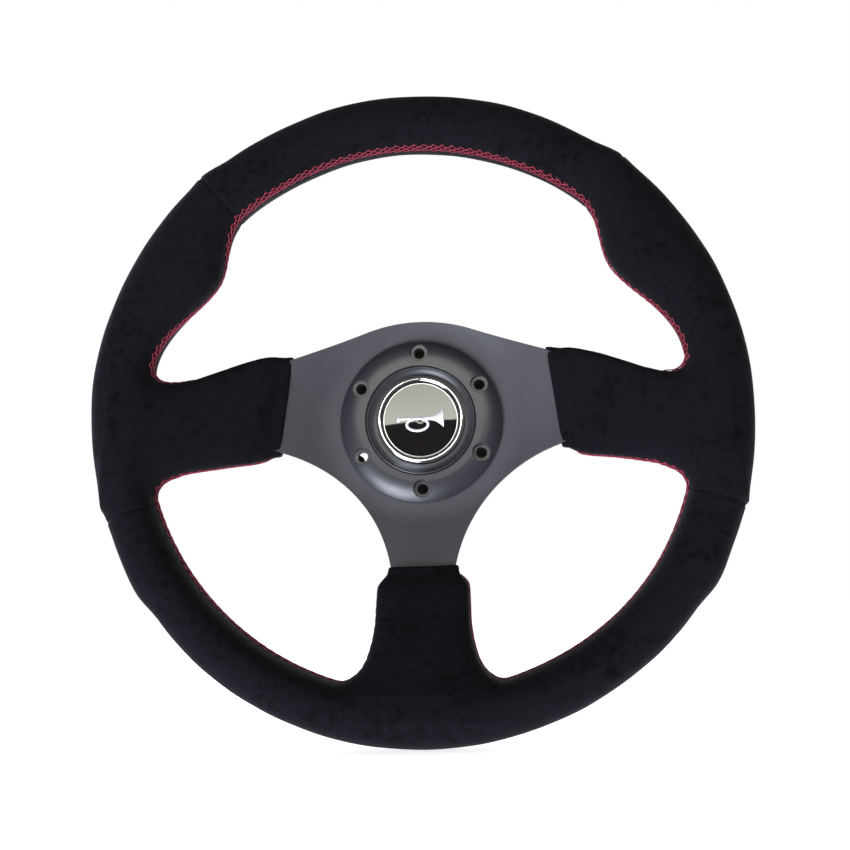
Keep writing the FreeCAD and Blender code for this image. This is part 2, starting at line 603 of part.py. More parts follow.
def sleeve(spoke, inset):
    """Solid padded sleeve round one arm, from its hem into the rim."""
    along, across = spoke_frame(spoke)
    stations = sleeve_stations(spoke)
    wires = []
    for index, (reach, half_wide, half_deep) in enumerate(stations):
        moved = reach + inset if index == 0 else reach
        middle = along * moved + across * sag(spoke, moved) + FreeCAD.Vector(0, plate_middle(moved), 0)
        squareness = 4 - 1.6 * index / (len(stations) - 1)
        wires.append(closed_curve([
            middle + across * wide + FreeCAD.Vector(0, deep, 0)
            for wide, deep in oval(half_wide - inset, half_deep - inset, squareness)]))
    return Part.makeLoft(wires, True)


def panel_ranges():
    """Start angle, end angle and spoke of each cover panel."""
    upper, lower = size("upper_seam"), size("lower_seam")
    return {"top": (-upper, upper, None), "right": (upper, lower, "right"),
            "bottom": (lower, FULL_TURN - lower, "bottom"), "left": (FULL_TURN - lower, FULL_TURN - upper, "left")}


def panel_solid(name, inset, gap=0):
    start, end, spoke = panel_ranges()[name]
    solid = rim_arc(start + gap, end - gap, inset)
    if spoke:
        solid = solid.fuse(sleeve(spoke, inset))
    return solid


def as_feature(name, label, shape):
    feature = node(document.addObject("Part::Feature", name), label)
    feature.Shape = shape
    feature.Placement = FreeCAD.Placement()
    return feature


def make_rim_foam(plate, hoop, rivets):
    """Foam moulded round hoop and arms."""
    inset = size("suede_thick") + size("suede_gap")
    solids = [panel_solid(name, inset) for name in panel_ranges()]
    foam = solids[0].fuse(solids[1:])
    return as_feature("RimFoam", "rim_foam", foam.cut([plate.Shape, hoop.Shape, rivets.Shape]))


def make_suede_panels(plate):
    """Four cover panels, each a shell over the foam that closes on the plate at its hem."""
    gap = math.degrees(size("seam_gap") / 2 / size("rim_inner"))
    covers = []
    for name in panel_ranges():
        cover = panel_solid(name, 0, gap)
        shell = cover.cut([panel_solid(name, size("suede_thick")), plate.Shape])
        as_feature("Suede" + name.title(), "suede_" + name, shell)
        covers.append(cover)
    return Part.makeCompound(covers)


def beside_sleeve(spoke, side):
    """Points in the window a little off a sleeve's side edge, from the hem out to the corner."""
    along, across = spoke_frame(spoke)
    hem = size("foot_reach") if spoke == "bottom" else size("hem_reach")
    first, last, count = hem + size("thread_start"), size("thread_turn"), 8
    reaches = [first + (last - first) * index / count for index in range(count + 1)]
    return [along * reach + across * (side * size("thread_beside") + sag(spoke, reach))
            + FreeCAD.Vector(0, plate_middle(reach), 0) for reach in reaches]


def inside_rim(start, end):
    """Points in the window a little off the middle of the rim's inner side, between two angles."""
    count = round((end - start) / THREAD_STEP)
    points = []
    for index in range(count + 1):
        angle = start + (end - start) * index / count
        turn, reach = math.radians(angle), rim_radii(angle)[1] - size("thread_off")
        points.append(FreeCAD.Vector(reach * math.sin(turn), -size("dish_depth"), reach * math.cos(turn)))
    return points


def drawn_in(points, covers, lift):
    """The points moved straight toward the covers until they stand off by lift."""
    moved = []
    for point in points:
        nearest = covers.distToShape(Part.Vertex(point))[1][0][0]
        place = nearest + (point - nearest).normalize() * lift
        if not moved or place.distanceToPoint(moved[-1]) > size("thread_space"):
            moved.append(place)
    return moved


def thread_band(points):
    """Flat oval band through a line of points, its width lying fore and aft."""
    width = FreeCAD.Vector(0, 1, 0)
    wires = []
    for index, point in enumerate(points):
        direction = points[min(index + 1, len(points) - 1)] - points[max(index - 1, 0)]
        wire = Part.Wire(Part.Ellipse(FreeCAD.Vector(), size("thread_half_wide"),
                                      size("thread_half_tall")).toShape())
        wire.Placement = FreeCAD.Placement(point, FreeCAD.Rotation(width, FreeCAD.Vector(), direction, "ZXY"))
        wires.append(wire)
    return Part.makeLoft(wires, True, True)


def make_threads(covers):
    """Cross stitch round each window, a band on each sleeve and one on the rim's inner side."""
    lift = size("thread_half_tall") + size("thread_clear")
    corner = size("thread_corner")
    joined = math.degrees(math.atan2(sag("right", size("rim_inner")), size("rim_inner")))
    right, bottom, left = SPOKES["right"] + joined, SPOKES["bottom"], SPOKES["left"] - joined

    def bands(first, last, start, end):
        lines = (beside_sleeve(*first), inside_rim(start + corner, end - corner), beside_sleeve(*last))
        return Part.makeCompound([thread_band(drawn_in(line, covers, lift)) for line in lines])

    as_feature("ThreadUpper", "thread_upper", bands(("left", 1), ("right", -1), left - FULL_TURN, right))
    lower_left = bands(("bottom", 1), ("left", -1), bottom, left)
    as_feature("ThreadLowerLeft", "thread_lower_left", lower_left)
    lower_right = lower_left.mirror(FreeCAD.Vector(), FreeCAD.Vector(1, 0, 0))
    as_feature("ThreadLowerRight", "thread_lower_right", lower_right)


# ---------------------------------------------------------------- build, check and export


def check(features):
    """Stops if any object failed or any sub-part has no good shape."""
    for item in document.Objects:
        if "Invalid" in item.State or "Error" in item.State:
            raise RuntimeError(f"{item.Label} did not compute: {item.State}")
    for feature in features:
        if feature.Shape.isNull() or not feature.Shape.isValid():
            raise RuntimeError(f"{feature.Label} has no valid shape")


plate_body = make_spoke_plate()
hoop_body = make_rim_core()
rivet_body = make_core_rivets()
for make in (make_horn_bezel, make_horn_housing, make_contact_base, make_base_screws, make_fixed_contact,
             make_spring_seat, make_terminals, make_terminal_rivets, make_push_cap, make_chrome_ring,
             make_badge_plate, make_badge_dome, make_moving_contact, make_return_spring):
    make()
document.recompute()
make_rim_foam(plate_body, hoop_body, rivet_body)
make_threads(make_suede_panels(plate_body))
document.recompute()
check(NODES)
os.makedirs("parts", exist_ok=True)
for feature in NODES:
    feature.Shape.exportStep(f"parts/{feature.Label}.step")
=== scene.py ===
import json
import math

import bmesh
import bpy
import numpy as np
from mathutils import Matrix, Vector, kdtree

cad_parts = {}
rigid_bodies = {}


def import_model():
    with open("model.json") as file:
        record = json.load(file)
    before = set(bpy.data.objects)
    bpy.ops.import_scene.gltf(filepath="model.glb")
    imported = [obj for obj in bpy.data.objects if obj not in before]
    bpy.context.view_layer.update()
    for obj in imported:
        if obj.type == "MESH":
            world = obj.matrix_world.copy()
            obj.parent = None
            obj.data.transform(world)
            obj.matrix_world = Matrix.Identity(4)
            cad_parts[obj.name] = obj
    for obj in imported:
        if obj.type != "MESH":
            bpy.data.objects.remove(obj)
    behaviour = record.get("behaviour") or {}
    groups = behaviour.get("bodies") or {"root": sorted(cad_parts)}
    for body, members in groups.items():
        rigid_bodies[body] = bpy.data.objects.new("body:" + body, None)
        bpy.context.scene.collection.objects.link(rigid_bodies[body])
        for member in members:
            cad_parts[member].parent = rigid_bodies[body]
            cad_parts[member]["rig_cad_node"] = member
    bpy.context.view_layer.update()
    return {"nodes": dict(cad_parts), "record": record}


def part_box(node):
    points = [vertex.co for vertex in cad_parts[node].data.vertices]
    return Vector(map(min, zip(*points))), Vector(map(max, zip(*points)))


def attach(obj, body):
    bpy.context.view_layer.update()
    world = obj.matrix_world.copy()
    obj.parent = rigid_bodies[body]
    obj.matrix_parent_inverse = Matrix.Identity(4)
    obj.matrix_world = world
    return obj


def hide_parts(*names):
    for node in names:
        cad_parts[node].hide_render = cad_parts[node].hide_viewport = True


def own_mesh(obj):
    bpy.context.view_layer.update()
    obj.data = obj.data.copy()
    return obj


# A suede-covered three-spoke steering wheel with a horn push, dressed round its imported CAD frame.

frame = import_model()

MM = 0.001

# ---------------------------------------------------------------- sizes taken from the frame

top_low, top_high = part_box("suede_top")
side_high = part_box("suede_right")[1]
plate_low, plate_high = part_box("spoke_plate")
FLOOR_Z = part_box("suede_bottom")[0].z
badge_low, badge_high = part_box("badge_dome")
spring_low, spring_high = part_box("return_spring")
cap_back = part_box("push_cap")[1].y
spring_seat_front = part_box("spring_seat")[0].y

RIM_Y = (top_low.y + top_high.y) / 2
RIM_HALF_DEEP = (top_high.y - top_low.y) / 2
RIM_OUTER = side_high.x
RIM_UPPER_OUTER = top_high.z
RIM_INNER = RIM_OUTER - 28.6 * MM
# Below the grips the inner edge comes to lie further out, over so many degrees.
LOWER_INNER_RISE = 2.0 * MM
LOWER_INNER_BLEND = 25
PLATE_THICK = 4 * MM
DISH_FROM, DISH_TO = 48 * MM, 133 * MM
DISH_DEPTH = plate_high.y - plate_low.y - PLATE_THICK
DISH_SLOPE = DISH_DEPTH / (DISH_TO - DISH_FROM)

# Degrees from 12 o'clock of the seams, and of the end of the wider side parts of the rim.
UPPER_SEAM, LOWER_SEAM = 41, 108.5
LOWER_CHANGE = 122
SIDE_BLEND = 6
RIM_SQUARENESS = 2.15
# Unevenness of the outer edge: degrees from 12 o'clock, spread in degrees and height in mm.
BULGES = ((39, 3.5, 1.0), (-39, 3.5, 1.0), (121, 4, 0.9), (-121, 4, 0.5),
          (130, 24, 2.2), (-106, 20, -1.8))
# The same for the inner edge, where the rim's lower right part lies a little further out.
INNER_SHIFT = (130, 22, 1.8)
# Thumb grips: degrees from 12 o'clock where they start, are highest and end, and how far they rise inward.
GRIP_START, GRIP_PEAK, GRIP_END, GRIP_RISE = 39.5, 55.5, 78.5, 13.1 * MM
SUEDE_THICK = 1.1 * MM
FOAM_DEPTH = 1.4 * MM
# The side spokes point up by the tilt; past the hems their sleeves drop by a slope and a bend per mm.
ARM_TILT = 7.5
ARM_DROOP, ARM_CURL = 0.31, 0.0021
SPOKES = {"right": 90 - ARM_TILT, "bottom": 180, "left": 270 + ARM_TILT}
SAG_SIDE = {"right": 1, "bottom": 0, "left": -1}
PANELS = {"top": (-UPPER_SEAM, UPPER_SEAM), "right": (UPPER_SEAM, LOWER_SEAM),
          "bottom": (LOWER_SEAM, 360 - LOWER_SEAM), "left": (360 - LOWER_SEAM, 360 - UPPER_SEAM)}

# Sleeve stations in mm: distance from the axis, half width, half depth.
SIDE_SLEEVE = ((66, 25.7, 4.1), (72.8, 25.8, 4.2), (75, 26.4, 5.2), (78.5, 26.9, 6.6), (82, 26.9, 7.2),
               (96, 25.5, 8.6), (111, 23.6, 10.2), (119, 24.3, 11), (125, 26.4, 11.5), (131, 30, 12),
               (150, 33, 12))
FOOT_SLEEVE = ((71, 17.2, 3.9), (78, 17.5, 4.1), (80.2, 20.0, 5.2), (83, 22.2, 6.8), (86, 22.3, 7.2),
               (102, 22.9, 8.8), (108, 23.7, 9.6), (113, 24.9, 10.2), (118, 26.3, 10.8),
               (122.5, 28.8, 11.2), (127, 32.5, 11.6), (150, 36, 12))
# Squareness of the sleeves' section at mm from the axis; flat at the hems to clear the plate's edges.
SLEEVE_SQUARENESS = ((80, 6), (98, 3.2))
# The right sleeve hangs a little lower than the left one: mm lower at mm from the axis.
RIGHT_EXTRA = ((71, 0), (76, 1.3), (95, 1.5), (110, 2.4), (125, 4.2))
HEMS = {"right": 68.3 * MM, "left": 68.3 * MM, "bottom": 74 * MM}
SLEEVE_END = 142 * MM
SLEEVE_FILLET = 9 * MM
HEM_ROUND = 1.1 * MM

# ---------------------------------------------------------------- shape of the padded rim as a field


def smooth_step(position):
    clamped = np.clip(position, 0, 1)
    return clamped * clamped * (3 - 2 * clamped)


def smooth_union(first, second, reach):
    """Joins two distance fields with a fillet of about the given reach."""
    mix = np.clip(0.5 + 0.5 * (second - first) / reach, 0, 1)
    return second * (1 - mix) + first * mix - reach * mix * (1 - mix)


def smooth_overlap(first, second, reach):
    return -smooth_union(-first, -second, reach)


def superoval(across, deep, half_wide, half_deep, squareness):
    """Near-distance to a squarish oval, negative inside."""
    tiny = 1e-6
    u = np.abs(across) / half_wide + tiny
    v = np.abs(deep) / half_deep + tiny
    reach = (u**squareness + v**squareness) ** (1 / squareness)
    slope = reach ** (1 - squareness) * np.hypot(
        u ** (squareness - 1) / half_wide, v ** (squareness - 1) / half_deep)
    return (reach - 1) / slope


def swell(angle, place, spread, height):
    """Smooth local rise of an edge, given in degrees and mm."""
    return height * MM * np.exp(-(((angle - place) / spread) ** 2))


def rim_radii(angle):
    """Outer and inner radius of the rim at degrees clockwise from 12 o'clock, from -180 to 180."""
    away = np.abs(angle)
    side = smooth_step((away - UPPER_SEAM + SIDE_BLEND) / SIDE_BLEND)
    side = side * smooth_step((LOWER_CHANGE + SIDE_BLEND - away) / SIDE_BLEND)
    grip = smooth_step((away - GRIP_START) / (GRIP_PEAK - GRIP_START))
    grip = grip * smooth_step((GRIP_END - away) / (GRIP_END - GRIP_PEAK))
    bulge = sum(swell(angle, *place) for place in BULGES)
    lower = smooth_step((away - GRIP_END) / LOWER_INNER_BLEND)
    return (RIM_UPPER_OUTER + side * (RIM_OUTER - RIM_UPPER_OUTER) + bulge,
            RIM_INNER + LOWER_INNER_RISE * lower + swell(angle, *INNER_SHIFT) - GRIP_RISE * grip)


def polar(points):
    """Radius from the wheel's axis and degrees clockwise from 12 o'clock, from -180 to 180."""
    return np.hypot(points[:, 0], points[:, 2]), np.degrees(np.arctan2(points[:, 0], points[:, 2]))


def rim_field(points):
    radius, angle = polar(points)
    outer, inner = rim_radii(angle)
    return superoval(radius - (outer + inner) / 2, points[:, 1] - RIM_Y, (outer - inner) / 2,
                     RIM_HALF_DEEP, RIM_SQUARENESS)


def middle_y(radius):
    """The y of the plate's middle surface at a distance from the axis."""
    back = -DISH_SLOPE * (np.clip(radius, DISH_FROM, DISH_TO) - DISH_FROM)
    return back - PLATE_THICK / 2 * math.hypot(1, DISH_SLOPE)


def softened(stations):
    """Dense tables of half width and half depth along a sleeve, with the corners rounded."""
    step, spread, margin = 0.25, 1.2, 16
    reaches = np.arange(60, 156, step)
    kernel = np.exp(-0.5 * (np.arange(-margin, margin + 1) * step / spread) ** 2)
    columns = np.array(stations).T
    tables = []
    for column in columns[1:]:
        dense = np.pad(np.interp(reaches, columns[0], column), margin, mode="edge")
        tables.append(np.convolve(dense, kernel / kernel.sum(), mode="valid") * MM)
    return reaches * MM, tables[0], tables[1]


SLEEVE_TABLES = {"right": softened(SIDE_SLEEVE), "left": softened(SIDE_SLEEVE),
                 "bottom": softened(FOOT_SLEEVE)}


def spoke_axes(spoke):
    turn = math.radians(SPOKES[spoke])
    return np.array([math.sin(turn), 0, math.cos(turn)]), np.array([math.cos(turn), 0, -math.sin(turn)])


def sag(spoke, reach):
    """How far a side sleeve's middle has dropped across its spoke at a distance from the axis."""
    beyond = (np.clip(reach, HEMS[spoke], RIM_INNER) - HEMS[spoke]) / MM
    extra = np.interp(reach / MM, *zip(*RIGHT_EXTRA)) if spoke == "right" else 0
    return (SAG_SIDE[spoke] * beyond * (ARM_DROOP + ARM_CURL * beyond) + extra) * MM


def sleeve_place(points, spoke):
    """Distance along a spoke and distance across it from the sleeve's drooping middle."""
    along, across = spoke_axes(spoke)
    reach = points @ along
    return reach, points @ across - sag(spoke, reach)


def sleeve_field(points, spoke):
    reach, offset = sleeve_place(points, spoke)
    reaches, half_wide, half_deep = SLEEVE_TABLES[spoke]
    squareness = np.interp(reach / MM, *zip(*SLEEVE_SQUARENESS))
    tube = superoval(offset, points[:, 1] - middle_y(reach), np.interp(reach, reaches, half_wide),
                     np.interp(reach, reaches, half_deep), squareness)
    hem = HEMS[spoke] - reach
    tube = smooth_overlap(tube, hem, HEM_ROUND)
    return np.maximum(tube, reach - SLEEVE_END)


def base_field(points):
    """The stuffed rim with its three sleeves, without surface detail."""
    field = rim_field(points)
    for spoke in SPOKES:
        field = smooth_union(field, sleeve_field(points, spoke), SLEEVE_FILLET)
    return field


def slope_of(field, points):
    step = 0.05 * MM
    return np.stack([(field(points + offset) - field(points - offset)) / (2 * step)
                     for offset in np.eye(3) * step], axis=1)


def settle(points, field, level=0.0, rounds=5):
    """Moves points straight onto a level of a field."""
    for _ in range(rounds):
        slope = slope_of(field, points)
        steepness = np.maximum((slope**2).sum(axis=1), 0.05)
        move = (field(points) - level) / steepness
        points = points - slope * np.clip(move, -3 * MM, 3 * MM)[:, None]
    return points


# ---------------------------------------------------------------- stitch lines

# Middle of each window in mm, and how far toward the hub its sewn edges lie from mid depth in the rim.
WINDOWS = {"upper": ((0, 84), -2.2), "lower_right": ((72, -68), 2.8), "lower_left": ((-72, -68), 2.8)}
SLEEVE_SET_BACK = 3.4
LOOP_POINTS, LOOP_ROUNDS = 1440, 60
STITCH_PITCH = 4.6 * MM
POINTS_PER_PITCH = 4
# Half width of the stitching in mm at mm from the axis, and how many pitches a strand spans.
STITCH_HALF_WIDE = ((106, 1.2), (127, 3.2))
STITCH_SPAN = 2.5
THREAD_RADIUS = 0.26 * MM
# Sideways reach of the sleeves, clearance from a hem, and the distance from which all is covered.
SLEEVE_REACH, HEM_CLEARANCE, ALL_COVERED = 32 * MM, 3 * MM, 112 * MM


def seam_y(radius, set_back):
    """The y of the sewn edges, nearer the hub side in the sleeves than in the rim."""
    return middle_y(radius) + np.interp(radius / MM, (104, 127), (SLEEVE_SET_BACK, set_back)) * MM


def window_loop(centre, set_back):
    """Closed loop of the sewn edges round a window, found by rays that creep outward to the covers."""
    turns = np.linspace(0, 2 * math.pi, LOOP_POINTS, endpoint=False)
    rays = np.stack([np.cos(turns), np.zeros_like(turns), np.sin(turns)], axis=1)
    start = np.array([centre[0], 0, centre[1]]) * MM
    distance = np.full(len(turns), 5 * MM)
    for _ in range(LOOP_ROUNDS):
        points = start + rays * distance[:, None]
        points[:, 1] = seam_y(np.hypot(points[:, 0], points[:, 2]), set_back)
        distance = distance + np.clip(base_field(points), -2 * MM, 4 * MM) * 0.7
        distance = np.clip(distance, 0, 160 * MM)
    return points


def beyond_hem(points):
    """True where a point lies on a cover, outside the bare middle of the plate."""
    nearest = np.full(len(points), -1.0)
    for spoke in SPOKES:
        reach, offset = sleeve_place(points, spoke)
        inside = (np.abs(offset) < SLEEVE_REACH) & (reach > 0)
        nearest = np.where(inside, reach - HEMS[spoke] - HEM_CLEARANCE, nearest)
    radius = np.hypot(points[:, 0], points[:, 2])
    return (nearest > 0) | (radius > ALL_COVERED)


def stitch_line(centre, set_back):
    """Evenly spaced points along a window's edge from one hem to the other."""
    loop = window_loop(centre, set_back)
    good = beyond_hem(loop) & (np.abs(base_field(loop)) < 0.3 * MM)
    runs = []
    for start in np.flatnonzero(good & ~np.roll(good, 1)):
        length = 0
        while good[(start + length) % len(loop)] and length < len(loop):
            length += 1
        runs.append((length, start))
    length, start = max(runs)
    run = loop[(start + np.arange(length)) % len(loop)]
    travelled = np.concatenate([[0], np.cumsum(np.linalg.norm(np.diff(run, axis=0), axis=1))])
    count = int(travelled[-1] / (STITCH_PITCH / POINTS_PER_PITCH))
    even = np.linspace(0, travelled[-1], count)
    return np.stack([np.interp(even, travelled, run[:, axis]) for axis in range(3)], axis=1)


STITCH_LINES = {name: stitch_line(*window) for name, window in WINDOWS.items()}

# ---------------------------------------------------------------- surface detail of the covers

stitch_points = np.concatenate(list(STITCH_LINES.values()))
stitch_tree = kdtree.KDTree(len(stitch_points))
for number, point in enumerate(stitch_points):
    stitch_tree.insert(Vector(point), number)
stitch_tree.balance()


def stitch_distance(points):
    return np.array([stitch_tree.find(Vector(point))[2] for point in points])


# Short creases beside the upper seams: side, mm from the seam, mm from mid depth, length and height in mm.
CREASES = ((-1, -3.4, -9, 9, 0.34), (-1, -6.6, -8, 9, 0.40), (-1, -9.8, -10, 8, 0.36),
           (-1, -13.4, -9, 7, 0.26), (-1, 4.2, -9, 8, 0.22), (1, -3.8, -9, 8, 0.30), (1, -7.6, -9, 8, 0.28),
           (1, 4.4, -8, 8, 0.22))
CREASE_WIDE = 1.0
CREASE_BAND = 11 * MM
# Height and reach of the swelling beside a seam, of the seam's sunk line and of the sewn edges' valley.
SEAM_SWELL, SWELL_WIDE = 0.22 * MM, 4.5 * MM
SEAM_SINK, SINK_WIDE = 0.75 * MM, 0.8 * MM
STITCH_VALLEY, VALLEY_WIDE = 0.25 * MM, 1.0 * MM
WAVE_LENGTH, WAVE_HEIGHT, RIPPLE_HEIGHT = 9 * MM, 0.22 * MM, 0.07 * MM


def seam_relief(points):
    """Sunk line at each seam with the covers swelling a little beside it, and creases."""
    radius, angle = polar(points)
    relief = np.zeros(len(points))
    for seam in (UPPER_SEAM, LOWER_SEAM):
        away = np.radians(np.abs(angle) - seam) * radius
        relief += SEAM_SWELL * np.exp(-((away / SWELL_WIDE) ** 2))
        relief -= SEAM_SINK * np.exp(-((away / SINK_WIDE) ** 2))
    midway = np.exp(-(((radius - (RIM_OUTER + RIM_INNER) / 2) / CREASE_BAND) ** 4))
    for side, offset, depth, length, height in CREASES:
        away = np.radians(angle * side - UPPER_SEAM) * radius / MM - offset
        lengthwise = (points[:, 1] - RIM_Y) / MM - depth
        relief += midway * height * MM * np.exp(
            -((away / CREASE_WIDE) ** 2) - (lengthwise / length) ** 2)
    return relief


def waviness(points):
    """Gentle unevenness of hand-stretched suede."""
    x, y, z = points.T / WAVE_LENGTH
    wave = np.sin(x * 0.7 + 1.3 * np.sin(z * 0.4)) * np.sin(z * 0.6 + 0.8 * np.sin(y * 0.9))
    ripple = np.sin(x * 1.9 + y * 1.1) * np.sin(z * 1.7 - y * 1.4 + 0.5)
    return WAVE_HEIGHT * wave + RIPPLE_HEIGHT * ripple


def detail_field(points, edge_distance):
    """The base field with seams, creases, unevenness and a valley along the sewn edges."""
    valley = np.exp(-((edge_distance / VALLEY_WIDE) ** 2)) * STITCH_VALLEY
    return base_field(points) - seam_relief(points) - waviness(points) + valley


# ---------------------------------------------------------------- meshes


def new_object(name, vertices, faces):
    mesh = bpy.data.meshes.new(name)
    mesh.from_pydata([tuple(vertex) for vertex in vertices], [], faces)
    mesh.validate()
    mesh.shade_smooth()
    thing = bpy.data.objects.new(name, mesh)
    bpy.context.scene.collection.objects.link(thing)
    return thing


def ring_grid(rings):
    """Vertices and quads of equal closed rings; the last ring isn't joined to the first."""
    count = len(rings[0])
    faces = []
    for row in range(len(rings) - 1):
        for column in range(count):
            following = (column + 1) % count
            faces.append((row * count + column, row * count + following,
                          (row + 1) * count + following, (row + 1) * count + column))
    return np.concatenate(rings), faces


def squarish(share):
    """Pushes a sine or cosine outward, to turn an ellipse into a squarish oval."""
    return np.sign(share) * np.abs(share) ** 0.6


def rough_covers():
    """Coarse closed lumps of the rim and sleeves, to be remeshed and settled on the field."""
    turns = np.linspace(0, 2 * math.pi, 24, endpoint=False)
    rings = []
    for angle in np.linspace(0, 360, 181):
        outer, inner = rim_radii(angle if angle <= 180 else angle - 360)
        radius = (outer + inner) / 2 + (outer - inner) / 2 * np.cos(turns)
        turn = math.radians(angle)
        rings.append(np.stack([radius * math.sin(turn), RIM_Y + RIM_HALF_DEEP * np.sin(turns),
                               radius * math.cos(turn)], axis=1))
    vertices, faces = ring_grid(rings)
    for spoke in SPOKES:
        along, across = spoke_axes(spoke)
        reaches, half_wide, half_deep = SLEEVE_TABLES[spoke]
        rings = []
        for reach in np.linspace(HEMS[spoke], SLEEVE_END, 24):
            wide = np.interp(reach, reaches, half_wide) * squarish(np.cos(turns))
            deep = np.interp(reach, reaches, half_deep) * squarish(np.sin(turns))
            ring = along * reach + across * (wide[:, None] + sag(spoke, reach))
            ring[:, 1] = middle_y(reach) + deep
            rings.append(ring)
        grid, quads = ring_grid(rings)
        quads += [tuple(range(len(turns)))[::-1], tuple(range(len(grid) - len(turns), len(grid)))]
        faces += [tuple(corner + len(vertices) for corner in face) for face in quads]
        vertices = np.concatenate([vertices, grid])
    return vertices, faces


def remeshed(thing, cell):
    """Vertices and faces of an object after an even remesh."""
    modifier = thing.modifiers.new("even", "REMESH")
    modifier.mode = "VOXEL"
    modifier.voxel_size = cell
    evaluated = thing.evaluated_get(bpy.context.evaluated_depsgraph_get())
    mesh = evaluated.to_mesh()
    vertices = np.zeros(len(mesh.vertices) * 3)
    mesh.vertices.foreach_get("co", vertices)
    faces = [tuple(face.vertices) for face in mesh.polygons]
    evaluated.to_mesh_clear()
    bpy.data.objects.remove(thing)
    return vertices.reshape(-1, 3), faces


def outward(thing):
    """Makes a closed mesh's faces point outward."""
    mesh = bmesh.new()
    mesh.from_mesh(thing.data)
    bmesh.ops.recalc_face_normals(mesh, faces=mesh.faces[:])
    mesh.to_mesh(thing.data)
    mesh.free()


def cut_panel(whole, name, start, end):
    """The part of the whole cover between two seams, turned under at its edges."""
    gap = 0.04 * MM
    mesh = bmesh.new()
    mesh.from_mesh(whole.data)
    for angle, side in ((start, -1), (end, 1)):
        turn = math.radians(angle)
        tangent = Vector((math.cos(turn), 0, -math.sin(turn))) * side
        bmesh.ops.bisect_plane(mesh, geom=mesh.verts[:] + mesh.edges[:] + mesh.faces[:], dist=1e-6,
                               plane_co=tangent * -gap, plane_no=tangent, clear_outer=True)
    data = bpy.data.meshes.new(name)
    mesh.to_mesh(data)
    mesh.free()
    data.shade_smooth()
    panel = bpy.data.objects.new(name, data)
    bpy.context.scene.collection.objects.link(panel)
    shell = panel.modifiers.new("thickness", "SOLIDIFY")
    shell.thickness = SUEDE_THICK
    shell.offset = -1
    return panel


FINE_CELL, QUICK_CELL = 1.15 * MM, 2.4 * MM


def make_covers():
    """Four suede panels and the foam under them."""
    cell = FINE_CELL
    vertices, faces = remeshed(new_object("rough", *rough_covers()), cell)
    vertices = settle(vertices, base_field)
    foam = new_object("foam_body", settle(vertices, base_field, -FOAM_DEPTH), faces)
    edge_distance = stitch_distance(vertices)
    covers = settle(vertices, lambda points: detail_field(points, edge_distance), rounds=4)
    whole = new_object("whole_cover", covers, faces)
    outward(whole)
    outward(foam)
    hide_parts("rim_foam")
    panels = []
    for name, (start, end) in PANELS.items():
        panel = cut_panel(whole, "cover_" + name, start, end)
        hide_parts("suede_" + name)
        panels.append(panel)
    bpy.data.objects.remove(whole)
    return panels, foam


def tube(points, radius, sides=6):
    """Closed thin tube along points."""
    points = np.array(points)
    tangents = np.gradient(points, axis=0)
    tangents /= np.linalg.norm(tangents, axis=1)[:, None]
    helper = np.array([0.13, 0.91, 0.39])
    first = np.cross(tangents, helper)
    first /= np.linalg.norm(first, axis=1)[:, None]
    second = np.cross(tangents, first)
    turns = np.linspace(0, 2 * math.pi, sides, endpoint=False)
    rings = [point + radius * (np.cos(turns)[:, None] * a + np.sin(turns)[:, None] * b)
             for point, a, b in zip(points, first, second)]
    vertices, faces = ring_grid(rings)
    faces += [tuple(range(sides))[::-1], tuple(range(len(vertices) - sides, len(vertices)))]
    return vertices, faces


def gathered(name, lumps):
    """One object from many (vertices, faces) lumps."""
    vertices, faces, base = [], [], 0
    for lump, lump_faces in lumps:
        vertices.append(lump)
        faces += [tuple(corner + base for corner in face) for face in lump_faces]
        base += len(lump)
    return new_object(name, np.concatenate(vertices), faces)


def resampled(rows, places):
    """Rows read at fractional places."""
    return np.stack([np.interp(places, np.arange(len(rows)), column) for column in rows.T], axis=1)


def make_stitches(name, line):
    """Cross stitches that bridge the covers' edges along a line of evenly spaced points."""
    wobble = np.random.default_rng(len(name))
    slope = slope_of(base_field, line)
    normal = slope / np.linalg.norm(slope, axis=1)[:, None]
    tangent = np.gradient(line, axis=0)
    tangent /= np.linalg.norm(tangent, axis=1)[:, None]
    across = np.cross(tangent, normal)
    half_wide = np.interp(np.hypot(line[:, 0], line[:, 2]) / MM, *zip(*STITCH_HALF_WIDE)) * MM
    steps = np.linspace(0, 1, 16)
    centres, lifts = [], []
    for start in range(1, len(line) - 3 * POINTS_PER_PITCH, POINTS_PER_PITCH):
        for strand, side in enumerate((1, -1)):
            place = start + steps * POINTS_PER_PITCH * (STITCH_SPAN + wobble.uniform(-0.12, 0.12))
            width = half_wide[start] * (1 + wobble.uniform(-0.1, 0.1)) * (2 * steps - 1) * side
            spine = resampled(line, place)
            sideways = resampled(across, place)
            centres.append(spine + sideways * width[:, None])
            arch = np.minimum(1, np.sin(math.pi * steps) * 2.4)
            crossing = strand * 1.5 * np.exp(-(((steps - 0.5) / 0.34) ** 4))
            lifts.append(THREAD_RADIUS * (-1.8 + 2.1 * arch + crossing))
    points = settle(np.concatenate(centres), base_field)
    slope = slope_of(base_field, points)
    points = points + slope / np.linalg.norm(slope, axis=1)[:, None] * np.concatenate(lifts)[:, None]
    strands = points.reshape(-1, len(steps), 3)
    stitches = gathered("stitches_" + name, [tube(strand, THREAD_RADIUS) for strand in strands])
    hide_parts("thread_" + name)
    return stitches


# ---------------------------------------------------------------- horn symbol on the badge


BADGE_HALF = (badge_high.x - badge_low.x) / 2
BADGE_EDGE = 0.7 * MM
BADGE_RISE = badge_high.y - badge_low.y - BADGE_EDGE


